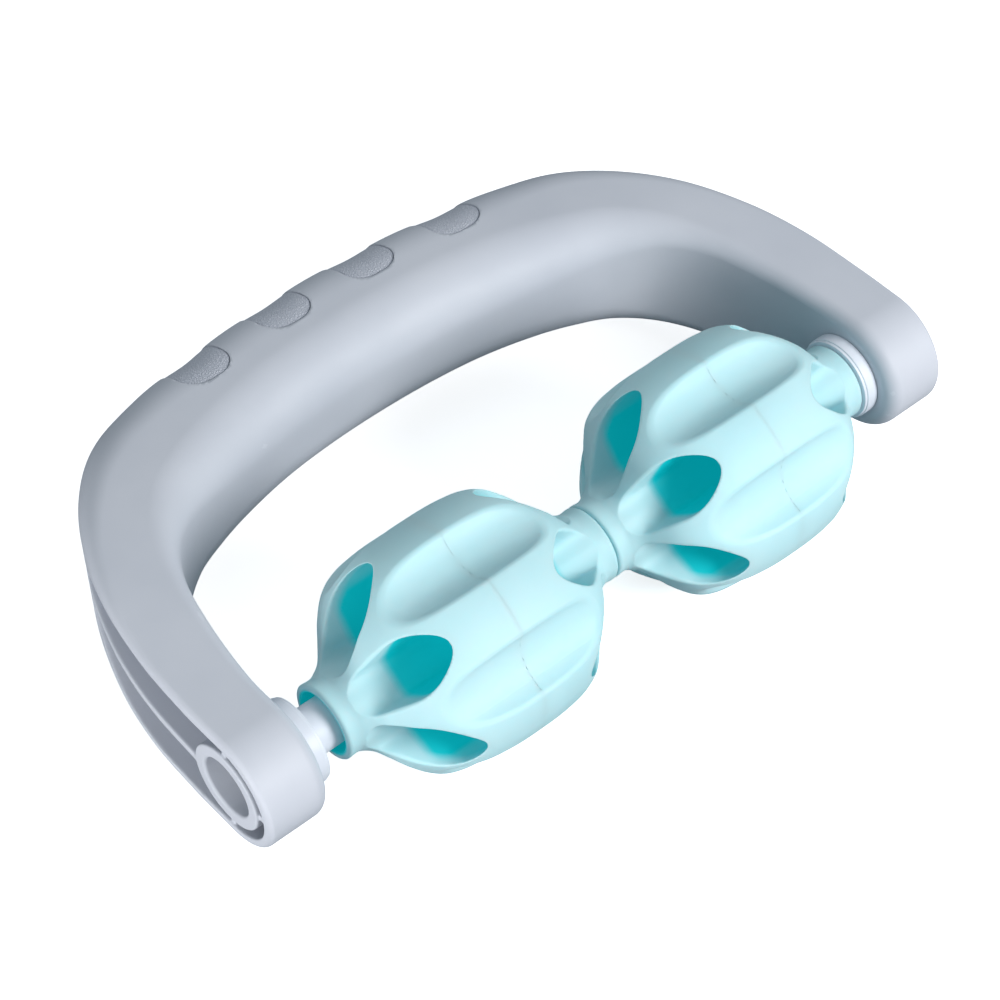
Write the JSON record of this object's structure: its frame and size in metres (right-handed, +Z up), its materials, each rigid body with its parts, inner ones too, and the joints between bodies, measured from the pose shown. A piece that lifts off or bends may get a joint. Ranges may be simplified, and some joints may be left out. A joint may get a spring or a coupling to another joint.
{
  "type": "shiatsu neck massager",
  "caption": "Hand-held neck massager with a U-shaped handle that carries lobed rollers on one axle between its arms.",
  "frame": {"origin": "middle of the underside of the bounding box, the plane that the rollers lie on", "axes": "+X along the axle from the left arm to the right arm, +Y from the axle to the grip, +Z up from the plane that the object lies on"},
  "size_m": [0.2078, 0.138, 0.058],
  "materials": {
    "handle_plastic": "smooth satin moulding, light cool grey",
    "pad_plastic": "fine leather grain, light cool grey",
    "roller_plastic": "satin gloss, pale aqua",
    "axle_plastic": "smooth, cool white",
    "sleeve_plastic": "smooth, cool white",
    "steel": "plain zinc-plated"
  },
  "bodies": {
    "frame": {"handle_body": "handle_plastic", "finger_pad_1": "pad_plastic", "finger_pad_2": "pad_plastic", "finger_pad_3": "pad_plastic", "finger_pad_4": "pad_plastic", "axle_rod": "steel", "axle_tube": "axle_plastic", "left_axle_bush": "axle_plastic", "left_washer": "steel", "left_nut": "steel", "right_axle_bush": "axle_plastic", "right_washer": "steel", "right_nut": "steel"},
    "left_sleeve": {"left_roller_sleeve": "sleeve_plastic"},
    "right_sleeve": {"right_roller_sleeve": "sleeve_plastic"},
    "left_roller": {"left_roller_outer_half": "roller_plastic", "left_roller_inner_half": "roller_plastic"},
    "right_roller": {"right_roller_outer_half": "roller_plastic", "right_roller_inner_half": "roller_plastic"}
  },
  "joints": [
    {"name": "left_roller_float", "type": "slide", "parent": "frame", "child": "left_sleeve", "axis": [1, 0, 0], "range_m": [-0.0057, 0]},
    {"name": "right_roller_float", "type": "slide", "parent": "frame", "child": "right_sleeve", "axis": [1, 0, 0], "range_m": [-0.0057, 0]},
    {"name": "left_roller_spin", "type": "hinge", "parent": "left_sleeve", "child": "left_roller", "pos_m": [-0.037, -0.0395, 0.02901], "axis": [1, 0, 0], "continuous": true},
    {"name": "right_roller_spin", "type": "hinge", "parent": "right_sleeve", "child": "right_roller", "pos_m": [0.0431, -0.0395, 0.02901], "axis": [1, 0, 0], "continuous": true}
  ],
  "couplings": [
    {"joint": "right_roller_float", "follows": "left_roller_float", "ratio": 1}
  ]
}
